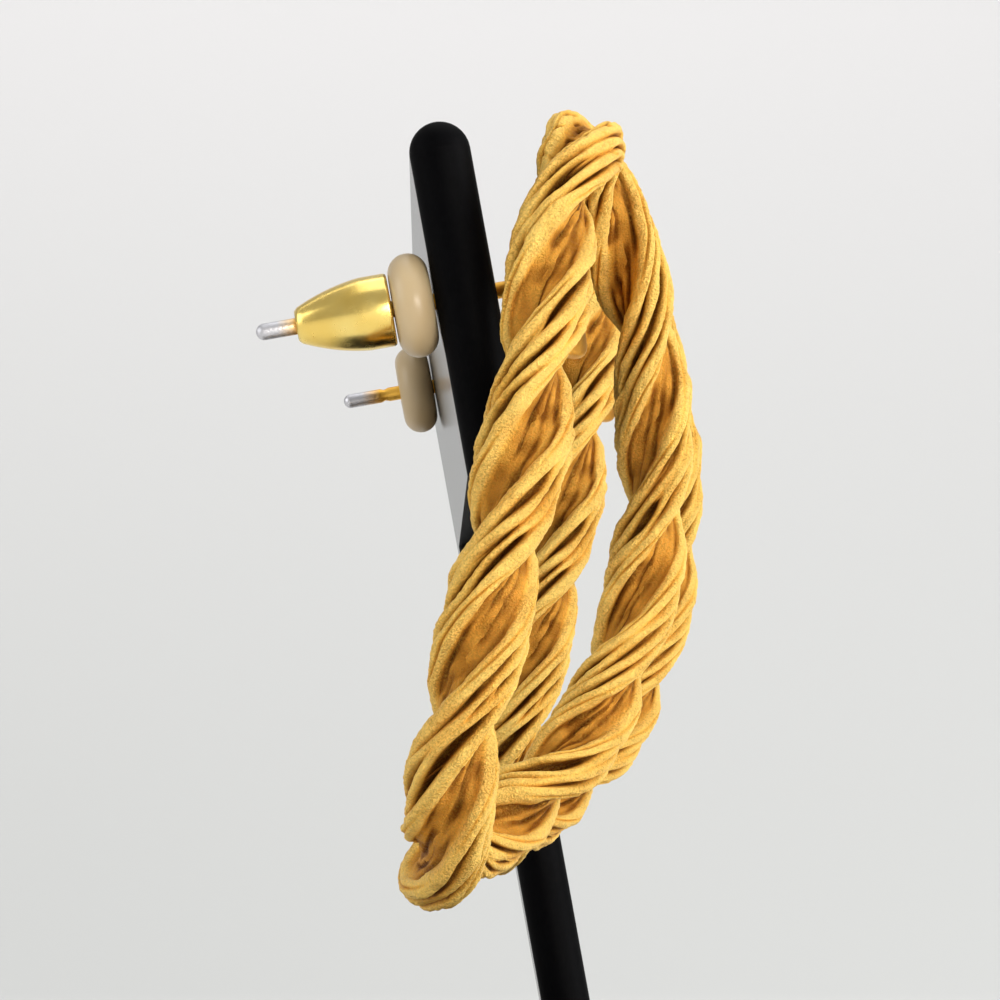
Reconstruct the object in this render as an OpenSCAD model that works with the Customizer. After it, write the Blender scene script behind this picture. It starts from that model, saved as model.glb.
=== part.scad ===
// A pair of twisted rope hoop earrings hanging by their posts on a small display stand.
// The stand's bar reaches out to one side of its stem.
// Millimetres. +X is the way the earrings face, Y runs along the bar and +Z is up.
// The origin is the bottom centre of the whole, on the surface that the foot stands on.
// Left and right are as seen from the front: the left earring is on the -Y side.

/* [Hoop] */
// Height of the hoop between the middles of its rope
hoop_h = 41.0; // [37:0.5:46]
// Width of the hoop between the middles of its rope, measured along the bar
hoop_w = 16.5; // [15:0.5:17]
// How far the hoop is turned about the upright, in degrees
hoop_turn = 27.3; // [20:0.1:32]
// Lean of the hoop's top towards the front, in degrees
hoop_lean = 8.0; // [4:0.5:12]
// How far the top and the bottom curl back from the middle
hoop_bow = 3.9; // [2:0.1:5]
// How much more the bottom curls back than the top
hoop_curl = 0.7; // [0:0.1:2]
// How much fuller the hoop is below its middle
hoop_egg = 0.27; // [0:0.01:0.35]
// How much further back the bottom's very end reaches
hoop_tip = 1.0; // [0:0.1:1.4]

/* [Rope] */
// Diameter of the twisted rope
rope_d = 5.15; // [4.2:0.05:5.3]
// Full turns of the twist round the hoop
rope_turns = 5; // [3:1:7]
// How much tighter the twist is on the side towards the end of the bar
twist_drift = 0.01; // [0:0.001:0.03]
// Where the twist starts at the top of the hoop, in degrees
twist_start = 30; // [0:1:359]
// Angle that one ribbon covers round the rope, in degrees
ribbon_span = 112; // [90:1:130]
// Thickness of a ribbon
ribbon_t = 1.25; // [0.8:0.05:1.6]
// Wires lying side by side in a ribbon
ribbon_wires = 4; // [3:1:5]
// Depth of the grooves between the wires
groove = 0.28; // [0:0.02:0.4]
// Width of the web that reaches from a ribbon to the rope's core
web_w = 1.2; // [0.8:0.1:1.6]

/* [Post and plate] */
// Diameter of the ear post
post_d = 0.95; // [0.7:0.05:1.2]
// Length of the post behind the middle of the board
post_back = 11.6; // [10.5:0.1:13]
// Height of the post hole above the middle of the hoop
post_rise = 11.8; // [11:0.1:12.5]
// Distance of the middle of the hoop in front of the post hole
hoop_ahead = 6.95; // [6.8:0.05:9]
// Height of the bridge plate
plate_h = 7.0; // [6:0.1:8]
// Thickness of the bridge plate
plate_t = 0.8; // [0.6:0.1:0.9]
// Width of the bridge plate at its upper edge
plate_top_w = 5.2; // [4.6:0.1:6]
// Width of the bridge plate at its lower edge
plate_low_w = 9.5; // [8.6:0.1:9.5]
// Height of the bridge plate's middle above the post hole
plate_rise = 0.4; // [0.4:0.1:1.4]
// How far the bridge plate is set into the hollows of the rope
plate_sink = 0.2; // [0:0.1:0.4]

/* [Clutch] */
// Diameter of the comfort disc
disc_d = 6.0; // [5:0.1:8]
// Thickness of the comfort disc, which has a round edge
disc_t = 2.3; // [1.8:0.1:2.6]
// Length of the bullet clutch
bullet_l = 5.5; // [5:0.1:5.8]
// Diameter of the bullet clutch beside the disc
bullet_d = 4.2; // [4:0.1:5]
// Diameter of the bullet clutch at its nose
bullet_nose_d = 2.1; // [1.9:0.1:3]

/* [Stand] */
// Height of the stand
stand_h = 62.2; // [60:0.1:66]
// Backward lean of the board, in degrees
board_lean = 10.3; // [9:0.1:11]
// Thickness of the board
board_t = 3.5; // [3:0.1:3.6]
// Height of the bar
bar_h = 20.2; // [18:0.1:22]
// Width of the stem
stem_w = 9; // [7:0.5:9]
// Distance of the right hole from the stem
stem_clear = 11.9; // [11.5:0.1:11.9]
// Distance between the two post holes
hole_gap = 41; // [40:0.5:41]
// Distance of the left hole from the end of the bar
hole_edge = 3.5; // [3:0.1:5]
// Distance of the holes below the top of the bar
hole_drop = 9.85; // [8:0.05:11]
// Diameter of the post holes
hole_d = 1.7; // [1.5:0.1:2]
// How far the left post is drawn forward through its hole
slide_left = 0; // [0:0.1:5]
// How far the right post is drawn forward through its hole
slide_right = 4; // [3:0.1:4.5]
// Length of the foot across the board
foot_x = 34; // [34:1:40]
// Length of the foot along the bar
foot_y = 76; // [76:1:90]
// Thickness of the foot
foot_t = 3.5; // [3:0.1:4]
// Distance of the stem from the end of the foot
stem_inset = 3; // [2:0.5:3]

/* [Hidden] */
$fn = 48;

gold = [0.83, 0.64, 0.30];
clutch_gold = [0.88, 0.72, 0.32];
disc_tan = [0.85, 0.76, 0.60];
black = [0.03, 0.03, 0.03];

// Gap between pieces that lie against each other
seat_gap = 0.1;
// More than the size of anything that a block is cut from
plenty = 100;
// Rings of the sweep that makes a strand
rings = 110;

// The board leans back, and its middle plane meets the floor this far in front of the origin
board_foot_x = 6.5;
// Length of the board from the floor to the middle of its round top
board_len = (stand_h - board_t / 2) / cos(board_lean);
hole_up = board_len + board_t / 2 - hole_drop;
// Places along the bar
bar_right = foot_y / 2 - stem_inset;
hole_right = bar_right - stem_w - stem_clear;
hole_left = hole_right - hole_gap;
bar_left = hole_left - hole_edge;
function on_board(along, up) = [board_foot_x - up * sin(board_lean), along, up * cos(board_lean)];
// Way that the posts point, square to the board
post_way = [cos(board_lean), 0, sin(board_lean)];

hoop_middle = [hoop_ahead, 0, -post_rise];
half_h = hoop_h / 2;
half_w = hoop_w / 2;
lean_reach = half_h * tan(hoop_lean);
face = [cos(hoop_turn), -sin(hoop_turn), 0];

function unit(v) = v / norm(v);

// Middle line of the rope: an egg-shaped ring, turned, leaned and bowed forward. The turn fades
// at the top and the bottom. f is 0 at the top, 90 on the side away from the bar's left end and
// 180 at the bottom.
function rim_tip(u) = hoop_tip * pow(u, 8) * (0.6 * u - 0.4);
function rim_forward(u) = lean_reach * u - hoop_bow * u * u + hoop_curl * u * u * u + rim_tip(u);
function rim_side(f) = half_w * sin(f) * (1 - hoop_egg * cos(f));
function turn_left(u) = tan(hoop_turn) * (1 - pow(u, 8));
function rim(f) = [
    rim_forward(cos(f)) + rim_side(f) * turn_left(cos(f)),
    rim_side(f),
    half_h * cos(f)
];

// Frame that travels along the rope: along it, and towards the hoop's face
function along(f) = unit(rim(f + 0.5) - rim(f - 0.5));
function outward(f) = let (t = along(f)) unit(face - (face * t) * t);

// Share of the rope's length that lies before each ring
step = 360 / rings;
run = [for (i = 0, s = 0; i <= rings; s = s + norm(rim((i + 1) * step) - rim(i * step)), i = i + 1) s];
function share(i) = run[i] / run[rings];
function twist(i) = twist_start + 360 * rope_turns * (share(i) - twist_drift * sin(360 * share(i)));

// Cross-section of one strand as [outward, sideways]: a ribbon of wires, hollow behind its edges,
// with a web behind its middle that reaches the core
rope_r = rope_d / 2;
edge_drop = 0.45;
core_gap = 0.3;
hollow_r = rope_r - ribbon_t;
wire_steps = 2 * ribbon_wires;
function on_arc(angle, radius) = [radius * cos(angle), radius * sin(angle)];
ribbon_outside = [
    for (j = [0 : wire_steps])
        let (edge = j == 0 || j == wire_steps, valley = j % 2 == 0)
        on_arc(ribbon_span * (j / wire_steps - 0.5), rope_r - (edge ? edge_drop : valley ? groove : 0))
];
half_inside = [
    on_arc(0.48 * ribbon_span, hollow_r),
    on_arc(0.36 * ribbon_span, hollow_r),
    [sqrt(hollow_r * hollow_r - web_w * web_w / 4), web_w / 2],
    [core_gap / 2, web_w / 2]
];
other_half_inside = [for (k = [3 : -1 : 0]) [half_inside[k][0], -half_inside[k][1]]];
section = concat(ribbon_outside, half_inside, other_half_inside);
corners = len(section);

// One ring of the sweep: the section turned by the twist, on the travelling frame
function ring_points(i, start) =
    let (
        f = i * step,
        p = rim(f),
        t = along(f),
        n = outward(f),
        b = cross(t, n),
        a = twist(i) + start,
        out = cos(a) * n + sin(a) * b,
        side = cos(a) * b - sin(a) * n
    )
    [for (c = section) p + c[0] * out + c[1] * side];

// One strand: the section carried once round the hoop and closed on itself
module strand(start) {
    points = [for (i = [0 : rings - 1]) each ring_points(i, start)];
    faces = [
        for (i = [0 : rings - 1], j = [0 : corners - 1])
            let (
                here = i * corners,
                next = ((i + 1) % rings) * corners,
                k = (j + 1) % corners
            )
            each [[here + j, next + j, here + k], [here + k, next + j, next + k]]
    ];
    polyhedron(points = points, faces = faces, convexity = 10);
}

// Bridge plate: it lies across the backs of both sides of the rope, leans as they do there and
// narrows upwards with them
plate_z = post_rise + plate_rise;
plate_top_forward = rim_forward((plate_z + plate_h / 2) / half_h);
plate_low_forward = rim_forward((plate_z - plate_h / 2) / half_h);
plate_lean = atan((plate_low_forward - plate_top_forward) * face[0] / plate_h);
plate_behind = rope_r + seat_gap + plate_t / 2 - plate_sink;
plate_middle = hoop_middle + [(plate_top_forward + plate_low_forward) / 2, 0, plate_z] - plate_behind * face;

module bridge_plate() {
    translate(plate_middle)
        rotate([0, -plate_lean, -hoop_turn])
            rotate([90, 0, 90])
                linear_extrude(plate_t, center = true)
                    polygon([
                        [-plate_low_w / 2, -plate_h / 2],
                        [plate_low_w / 2, -plate_h / 2],
                        [plate_top_w / 2, plate_h / 2],
                        [-plate_top_w / 2, plate_h / 2]
                    ]);
}

// Ear post: from its round tip, through the hole, into the middle of the plate
module ear_post() {
    reach = (plate_middle * face) / (post_way * face);
    rotate([0, 90 - board_lean, 0])
        translate([0, 0, -post_back]) {
            cylinder(d = post_d, h = post_back + reach);
            sphere(d = post_d);
        }
}

module post_plate() {
    bridge_plate();
    ear_post();
}

// On the post behind the board: a soft disc against the board, and on the left one the bullet clutch
grip_d = post_d + 0.24;
disc_start = board_t / 2 + seat_gap;
bullet_start = disc_start + disc_t + seat_gap;

module behind_board(start) {
    rotate([0, -90 - board_lean, 0])
        translate([0, 0, start])
            children();
}

module disc() {
    difference() {
        union() {
            cylinder(d = disc_d - disc_t, h = disc_t);
            translate([0, 0, disc_t / 2])
                rotate_extrude()
                    translate([(disc_d - disc_t) / 2, 0])
                        circle(d = disc_t);
        }
        translate([0, 0, -disc_t])
            cylinder(d = grip_d, h = 3 * disc_t);
    }
}

module bullet() {
    bevel = 0.25;
    straight = 0.3 * bullet_l;
    shoulder = 0.72 * bullet_l;
    shoulder_d = 0.62 * bullet_d + 0.38 * bullet_nose_d;
    rotate_extrude()
        polygon([
            [grip_d / 2, 0],
            [bullet_d / 2 - bevel, 0],
            [bullet_d / 2, bevel],
            [bullet_d / 2, straight],
            [shoulder_d / 2, shoulder],
            [bullet_nose_d / 2, bullet_l - bevel],
            [bullet_nose_d / 2 - bevel, bullet_l],
            [grip_d / 2, bullet_l]
        ]);
}

// Puts what is modelled round a post hole on the stand, on the left (-1) or the right (1)
module at_hole(side) {
    translate(on_board(side < 0 ? hole_left : hole_right, hole_up))
        children();
}

// The hoop and its post slide as one through the hole, and the clutch stays against the board
module hang(side) {
    slide = side < 0 ? slide_left : slide_right;
    at_hole(side)
        translate(slide * post_way)
            children();
}

module strand_one(side) {
    color(gold) hang(side) translate(hoop_middle) strand(0);
}

module strand_two(side) {
    color(gold) hang(side) translate(hoop_middle) strand(180);
}

module post_plate_on(side) {
    color(gold) hang(side) post_plate();
}

module clutch_disc(side) {
    color(disc_tan) at_hole(side) behind_board(disc_start) disc();
}

module clutch_bullet() {
    color(clutch_gold) at_hole(-1) behind_board(bullet_start) bullet();
}

// Board in its own plane, a stem with the bar reaching out to the left of its top: X is through it,
// Y along the bar, Z up the board from the floor. Its edges are round, and spread makes it larger
// all over.
module board_blank(spread) {
    r = board_t / 2 + spread;
    bar_low = board_len - bar_h + board_t / 2;
    left = bar_left + board_t / 2;
    right = bar_right - board_t / 2;
    stem_left = right - stem_w + board_t;
    translate([-r, left, bar_low])
        cube([2 * r, right - left, board_len - bar_low]);
    translate([0, left, board_len])
        rotate([-90, 0, 0])
            cylinder(r = r, h = right - left);
    translate([0, left, bar_low])
        cylinder(r = r, h = board_len - bar_low);
    for (y = [left, right])
        translate([0, y, board_len])
            sphere(r = r);
    translate([-r, stem_left, -board_t])
        cube([2 * r, right - stem_left, bar_low + 2 * board_t]);
    translate([0, stem_left, -board_t])
        cylinder(r = r, h = bar_low + 2 * board_t);
    translate([0, right, -board_t])
        cylinder(r = r, h = board_len + board_t);
}

module lean_back() {
    translate([board_foot_x, 0, 0])
        rotate([0, -board_lean, 0])
            children();
}

// The stem's lower end sits in a slot of this depth in the foot
slot_depth = 2.4;
slot_floor = foot_t - slot_depth;

module stand_board() {
    color(black)
        difference() {
            lean_back() board_blank(0);
            translate([-plenty / 2, -plenty / 2, slot_floor + seat_gap - plenty])
                cube(plenty);
            for (side = [-1, 1])
                at_hole(side)
                    rotate([0, 90 - board_lean, 0])
                        cylinder(d = hole_d, h = 3 * board_t, center = true);
        }
}

module stand_foot() {
    corner = 3;
    color(black)
        difference() {
            union() {
                translate([-foot_x / 2 + corner, -foot_y / 2, 0])
                    cube([foot_x - 2 * corner, foot_y, foot_t]);
                translate([-foot_x / 2, -foot_y / 2 + corner, 0])
                    cube([foot_x, foot_y - 2 * corner, foot_t]);
                for (x = [-1, 1], y = [-1, 1])
                    translate([x * (foot_x / 2 - corner), y * (foot_y / 2 - corner), 0])
                        cylinder(r = corner, h = foot_t);
            }
            intersection() {
                lean_back() board_blank(seat_gap);
                translate([-plenty / 2, -plenty / 2, slot_floor])
                    cube(plenty);
            }
        }
}

strand_one(-1);  // strand_one_left
strand_two(-1);  // strand_two_left
post_plate_on(-1);  // post_plate_left
clutch_disc(-1);  // clutch_disc_left
clutch_bullet();
strand_one(1);  // strand_one_right
strand_two(1);  // strand_two_right
post_plate_on(1);  // post_plate_right
clutch_disc(1);  // clutch_disc_right
stand_board();
stand_foot();
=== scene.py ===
# %% [markdown]
# A pair of twisted rope hoop earrings on a small black stand.
# Each hoop is a rope of two strands, and each strand is a ribbon of gold-plated wires.
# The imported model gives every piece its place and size. This lesson dresses it:
# each step says what the real piece is, how it could be made, and why it is made this way.

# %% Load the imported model
import math

import bpy
import numpy as np
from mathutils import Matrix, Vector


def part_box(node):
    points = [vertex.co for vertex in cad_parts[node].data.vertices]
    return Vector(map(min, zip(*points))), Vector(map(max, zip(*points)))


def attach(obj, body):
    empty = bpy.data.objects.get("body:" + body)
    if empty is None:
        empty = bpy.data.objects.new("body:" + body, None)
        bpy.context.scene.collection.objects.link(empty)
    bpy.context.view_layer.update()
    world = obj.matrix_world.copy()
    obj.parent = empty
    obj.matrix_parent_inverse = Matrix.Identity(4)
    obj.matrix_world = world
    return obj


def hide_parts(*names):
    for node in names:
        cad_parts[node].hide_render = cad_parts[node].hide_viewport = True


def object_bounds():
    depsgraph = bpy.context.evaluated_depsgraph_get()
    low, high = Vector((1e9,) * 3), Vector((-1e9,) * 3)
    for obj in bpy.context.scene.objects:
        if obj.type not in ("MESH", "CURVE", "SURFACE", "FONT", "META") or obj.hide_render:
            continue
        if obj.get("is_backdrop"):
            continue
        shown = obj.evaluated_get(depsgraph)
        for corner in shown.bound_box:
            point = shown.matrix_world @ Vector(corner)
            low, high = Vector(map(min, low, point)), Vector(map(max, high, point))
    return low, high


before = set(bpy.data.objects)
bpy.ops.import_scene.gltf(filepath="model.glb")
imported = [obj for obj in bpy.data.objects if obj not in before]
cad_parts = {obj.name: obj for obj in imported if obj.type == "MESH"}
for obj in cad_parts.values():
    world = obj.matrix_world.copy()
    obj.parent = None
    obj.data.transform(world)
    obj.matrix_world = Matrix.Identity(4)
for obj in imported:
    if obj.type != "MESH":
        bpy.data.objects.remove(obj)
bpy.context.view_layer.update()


def rounded(values, digits=4):
    """Numbers rounded for printing."""
    return tuple(round(float(value), digits) for value in values)


# %% [markdown]
# The photo looks along the bar, from a little below the middle of the near hoop, so the
# hoop is seen from its side. A long lens keeps the near and the far hoop close in size.
# The camera's place could be guessed by eye; it is worked out from the hoop's middle line instead.
# Lengths in this lesson are in millimetres until a piece or a place goes to Blender in metres.

# %% Camera
MM = 0.001
CAMERA_PLACE = np.array([-5.0, -215.15, 25.0]) * MM
CAMERA_YAW = math.radians(1.204)
CAMERA_PITCH = math.radians(4.806)
CAMERA_LENS = 119.9
CAMERA_SENSOR = 36.0

camera_data = bpy.data.cameras.new("camera")
camera_data.lens = CAMERA_LENS
camera_data.sensor_width = CAMERA_SENSOR
camera_data.clip_start = 10 * MM
camera_data.clip_end = 20.0
camera = bpy.data.objects.new("camera", camera_data)
camera.location = CAMERA_PLACE
camera.rotation_euler = (math.pi / 2 + CAMERA_PITCH, 0.0, -CAMERA_YAW)
bpy.context.scene.collection.objects.link(camera)
bpy.context.scene.camera = camera
print("camera at", rounded(camera.location))

# %% [markdown]
# Helpers for surfaces. Every new piece is a grid of points: a function of two parameters,
# worked out as whole arrays. The grid becomes a mesh of four-sided faces in one step,
# which is quick and keeps the formula in sight.

# %% Faces of a grid
def unit(v):
    """v divided by its own length, row by row."""
    return v / np.linalg.norm(v, axis=-1, keepdims=True)


def grid_faces(rows, columns, rows_closed, columns_closed):
    """Corners of the faces of a grid. Face (i, j) joins the points (i, j), (i+1, j), (i+1, j+1)
    and (i, j+1), and a closed grid goes on from its last row or column to its first."""
    i = np.arange(rows if rows_closed else rows - 1)[:, None]
    j = np.arange(columns if columns_closed else columns - 1)[None, :]
    here, after = i * columns, (i + 1) % rows * columns
    after_j = (j + 1) % columns
    return np.stack([here + j, after + j, after + after_j, here + after_j], axis=-1).reshape(-1, 4)


def volume_of(points, quads):
    """Volume inside a closed mesh, positive where its faces point outwards: a sixth of the sum
    of a . (b x c) + a . (c x d) over the faces with corners a, b, c and d."""
    a, b, c, d = (points[quads[:, k]] for k in range(4))
    return ((a * np.cross(b, c)).sum(-1) + (a * np.cross(c, d)).sum(-1)).sum() / 6


print("an open grid of 3 by 4 points has", len(grid_faces(3, 4, False, False)), "faces")

# %% Grid to mesh
def piece_from_grid(name, grid, rows_closed=False, columns_closed=True, caps=False, shares=None):
    """A mesh object from grid[row, column] = (x, y, z). With caps, the first and the last row
    are each closed by one face. shares are named numbers kept at each point for the materials."""
    rows, columns = grid.shape[:2]
    points = grid.reshape(-1, 3)
    quads = grid_faces(rows, columns, rows_closed, columns_closed)
    first = np.arange(columns)
    ends = [first, (first + (rows - 1) * columns)[::-1]] if caps else []
    if volume_of(points, quads) < 0:
        quads = quads[:, ::-1]
        ends = [end[::-1] for end in ends]
    corners = np.concatenate([quads.ravel(), *ends])
    totals = np.array([4] * len(quads) + [columns] * len(ends))
    mesh = bpy.data.meshes.new(name)
    mesh.vertices.add(len(points))
    mesh.vertices.foreach_set("co", points.astype(np.float32).ravel())
    mesh.loops.add(len(corners))
    mesh.loops.foreach_set("vertex_index", corners.astype(np.int32))
    mesh.polygons.add(len(totals))
    mesh.polygons.foreach_set("loop_start", (np.cumsum(totals) - totals).astype(np.int32))
    mesh.polygons.foreach_set("loop_total", totals.astype(np.int32))
    mesh.polygons.foreach_set("use_smooth", np.ones(len(totals), bool))
    mesh.update(calc_edges=True)
    mesh.validate()
    for share_name, values in (shares or {}).items():
        layer = mesh.attributes.new(share_name, "FLOAT", "POINT")
        layer.data.foreach_set("value", values.astype(np.float32).ravel())
    piece = bpy.data.objects.new(name, mesh)
    bpy.context.scene.collection.objects.link(piece)
    print(name, "has", len(points), "points and", int((totals - 2).sum()), "triangles")
    return piece


def place_piece(piece, node):
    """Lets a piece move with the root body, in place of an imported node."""
    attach(piece, "root")
    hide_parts(node)


# %% [markdown]
# The board leans back, and each post goes square through it. Both hoops hang from their
# post holes, so the places of the holes give the middles of the hoops.

# %% Places of the hoops
SIDES = ("left", "right")
STAND_HEIGHT = 62.2
BOARD_LEAN = math.radians(10.3)
BOARD_HALF = 3.5 / 2
BOARD_FOOT_X = 6.5
HOLE_DROP = 9.85
HOLE_Y = {"left": -26.9, "right": 14.1}
POST_SLIDE = {"left": 0.0, "right": 4.0}
POST_RISE = 11.8
HOOP_AHEAD = 6.95

board_length = (STAND_HEIGHT - BOARD_HALF) / math.cos(BOARD_LEAN)
hole_up = board_length + BOARD_HALF - HOLE_DROP
post_way = np.array([math.cos(BOARD_LEAN), 0.0, math.sin(BOARD_LEAN)])


def hole_place(side):
    """Middle of a post hole: up the leaning board by hole_up, on the board's middle plane."""
    forward = BOARD_FOOT_X - hole_up * math.sin(BOARD_LEAN)
    return np.array([forward, HOLE_Y[side], hole_up * math.cos(BOARD_LEAN)])


def post_place(side):
    """Where the post's own zero lies: the hole, drawn forward along the post."""
    return hole_place(side) + POST_SLIDE[side] * post_way


def hoop_middle(side):
    """Middle of a hoop: ahead of the post's zero and below it."""
    return post_place(side) + np.array([HOOP_AHEAD, 0.0, -POST_RISE])


print("hoop middles in mm:", [rounded(hoop_middle(side), 2) for side in SIDES])

# %% [markdown]
# The rope's middle line is an egg-shaped ring, turned on its post, leaning forward at the
# top and curling back at both ends. It could be a drawn curve, but a formula needs only a few
# measures from the photo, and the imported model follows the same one.

# %% Middle line of the rope
HALF_H = 41.0 / 2
HALF_W = 16.5 / 2
HOOP_TURN = math.radians(27.3)
HOOP_LEAN = math.radians(8.0)
HOOP_BOW = 3.9
HOOP_CURL = 0.7
HOOP_EGG = 0.27
HOOP_TIP = 1.0
TIP_SLOPE, TIP_BACK = 0.6, 0.4
END_POWER = 8


def rim_forward(u):
    """How far forward the rope runs at height u (1 is the top, -1 the bottom):
    lean * u - bow * u^2 + curl * u^3 + tip * u^8 * (0.6 u - 0.4)."""
    tip = HOOP_TIP * u**END_POWER * (TIP_SLOPE * u - TIP_BACK)
    return HALF_H * math.tan(HOOP_LEAN) * u - HOOP_BOW * u**2 + HOOP_CURL * u**3 + tip


def rim(f):
    """Middle line of the rope at the angle f from its top: up by half the height * cos f, to the
    side by half the width * sin f * (1 - egg * cos f), and forward by its own formula and by the
    turn, which fades as 1 - u^8 towards the top and the bottom."""
    u = np.cos(f)
    side = HALF_W * np.sin(f) * (1 - HOOP_EGG * u)
    forward = rim_forward(u) + side * math.tan(HOOP_TURN) * (1 - u**END_POWER)
    return np.stack([forward, side, HALF_H * u], axis=-1)


print("the rope's top is at", rounded(rim(0.0), 2), "and its bottom at", rounded(rim(math.pi), 2))

# %% [markdown]
# A frame travels along the rope: one direction along it, one towards the hoop's face and one
# across. The twist turns each strand about the rope in that frame, so the strands meet
# themselves after one round, which an angle measured from the floor wouldn't give.

# %% Travelling frame and twist
RINGS = 1024
FACE = np.array([math.cos(HOOP_TURN), -math.sin(HOOP_TURN), 0.0])
SMALL_ANGLE = math.radians(0.5)
ROPE_TURNS = 5
TWIST_DRIFT = 0.01
TWIST_START = math.radians(30)


def travelling_frame(count):
    """At count even steps of f: points, ways outward and across, share of the length, and the
    length. The way along runs from just before a point to just after it, outward is FACE less
    its part along the rope, and across stands square to both."""
    f = np.arange(count) * 2 * math.pi / count
    along = unit(rim(f + SMALL_ANGLE) - rim(f - SMALL_ANGLE))
    outward = unit(FACE - (along @ FACE)[:, None] * along)
    middle = rim(f)
    steps = np.linalg.norm(np.roll(middle, -1, axis=0) - middle, axis=1)
    share = np.concatenate([[0.0], np.cumsum(steps)[:-1]]) / steps.sum()
    return middle, outward, np.cross(along, outward), share, steps.sum()


def twist_at(share):
    """Angle of the twist after a share of the rope: start + turns * (share - drift * sin share)."""
    return TWIST_START + 2 * math.pi * ROPE_TURNS * (share - TWIST_DRIFT * np.sin(2 * math.pi * share))


rope_middle, rope_outward, rope_across, rope_share, rope_length = travelling_frame(RINGS)
print("length of the rope's middle line:", round(rope_length, 1), "mm")

# %% [markdown]
# A strand's cross-section: a ribbon of wires that ends on both sides in a whole round wire.
# Behind it a web reaches just past the rope's core into the other strand's web, as if the two
# were cast together, so that the dents between the strands are hollow cups without a slit.

# %% Cross-section of a strand
ROPE_R = 5.15 / 2
EDGE_ANGLE = math.radians(35)
EDGE_WIRE_R = 0.62
EDGE_SINK = 0.03
RIBBON_ANGLES = np.linspace(math.radians(2), 0.8 * EDGE_ANGLE, 6)
EDGE_TURNS = EDGE_ANGLE + np.radians([-5, 20, 45, 70, 95, 120])
CUP_FLOOR = [(0.66, 1.16), (0.25, 1.10), (-0.12, 1.08), (-0.35, 0.85), (-0.35, 0.42)]
ROUNDINGS = 3


def on_arc(angles, radius):
    """Points at some angles and a distance from a middle: radius * (cos, sin)."""
    return radius * np.stack([np.cos(angles), np.sin(angles)], axis=-1)


def cut_corners(corners, times):
    """Rounds a closed outline: each side keeps its middle half, again and again."""
    for _ in range(times):
        after = np.roll(corners, -1, axis=0)
        halves = [0.75 * corners + 0.25 * after, 0.25 * corners + 0.75 * after]
        corners = np.stack(halves, axis=1).reshape(-1, 2)
    return corners


def rounded_outline():
    """Closed outline of the strand as [outward, sideways]: an arc of the rope's radius, half a
    circle round each edge wire, then the floor of the cup, and its own mirror image."""
    edge_middle = on_arc(EDGE_ANGLE, ROPE_R - EDGE_WIRE_R - EDGE_SINK)
    edge_wire = edge_middle + on_arc(EDGE_TURNS, EDGE_WIRE_R)
    half = np.concatenate([on_arc(RIBBON_ANGLES, ROPE_R), edge_wire, CUP_FLOOR])
    fine = cut_corners(np.concatenate([half, half[::-1] * [1, -1]]), ROUNDINGS)
    return np.roll(fine, -np.argmin(np.hypot(fine[:, 0] - ROPE_R, fine[:, 1])), axis=0)


print("the rounded outline has", len(rounded_outline()), "points")

# %% Points along the outline
SECTION_POINTS = 96
OUTSIDE_R = 1.75
OUTSIDE_WEIGHT = 2.6


def strand_outline():
    """Outline of the strand at even steps, the distance of each point along it from the ribbon's
    middle line, and its whole length. Steps outside OUTSIDE_R, where the wires are, count 2.6
    times, so more of the points lie there."""
    fine = rounded_outline()
    closed = np.concatenate([fine, fine[:1]])
    steps = np.linalg.norm(np.diff(closed, axis=0), axis=1)
    run = np.concatenate([[0.0], np.cumsum(steps)])
    outside = np.hypot(*((closed[:-1] + closed[1:]) / 2).T) > OUTSIDE_R
    weighted = np.concatenate([[0.0], np.cumsum(steps * np.where(outside, OUTSIDE_WEIGHT, 1.0))])
    even = np.arange(SECTION_POINTS) / SECTION_POINTS * weighted[-1]
    at = np.interp(even, weighted, run)
    points = np.stack([np.interp(at, run, closed[:, k]) for k in (0, 1)], axis=-1)
    return points, np.where(at > run[-1] / 2, at - run[-1], at), run[-1]


def outline_normals(points):
    """Outward normal of an outline at each point: its direction turned by a quarter."""
    way = np.roll(points, -1, axis=0) - np.roll(points, 1, axis=0)
    return unit(np.stack([way[:, 1], -way[:, 0]], axis=-1))


outline, around, outline_length = strand_outline()
outline_normal = outline_normals(outline)
reach = round(outline[:, 0].max(), 3)
print("outline of a strand:", round(outline_length, 2), "mm round, reaching", reach, "mm")

# %% [markdown]
# Random but repeatable unevenness. A hand-made casting has no two wires alike, yet the rope
# is a closed ring, so the unevenness has to meet itself. Sums of waves with whole numbers of
# crests round the ring do that, and a fixed seed gives the same ring each time.

# %% Closed waves
LINE_WAVES = 14


def waves(seed, low, high):
    """Smooth random line along the rope: the sum of sines with whole numbers of crests from low
    to high and random phases, scaled to a spread of about 1."""
    draw = np.random.default_rng(seed)
    crests = draw.integers(low, high + 1, (LINE_WAVES, 1))
    phase = draw.uniform(0, 2 * math.pi, (LINE_WAVES, 1))
    return np.sin(2 * math.pi * crests * rope_share + phase).sum(axis=0) * math.sqrt(2 / LINE_WAVES)


def ripples(seed, along, most_round, count):
    """Smooth random surface over the strand: the sum of count sines with whole numbers of crests,
    from along[0] to along[1] along the rope and at most most_round round the strand, and random
    phases, scaled to a spread of about 1."""
    draw = np.random.default_rng(seed)
    total = np.zeros((RINGS, SECTION_POINTS))
    for _ in range(count):
        crests_along = draw.integers(along[0], along[1] + 1)
        crests_round = draw.integers(-most_round, most_round + 1)
        phase = draw.uniform(0, 2 * math.pi)
        turns = crests_along * rope_share[:, None] + crests_round * (around / outline_length)
        total += np.sin(2 * math.pi * turns + phase)
    return total * math.sqrt(2 / count)


def rise(x, low, high):
    """Smooth step from 0 at low to 1 at high: t^2 * (3 - 2t)."""
    t = np.clip((x - low) / (high - low), 0, 1)
    return t * t * (3 - 2 * t)


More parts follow.
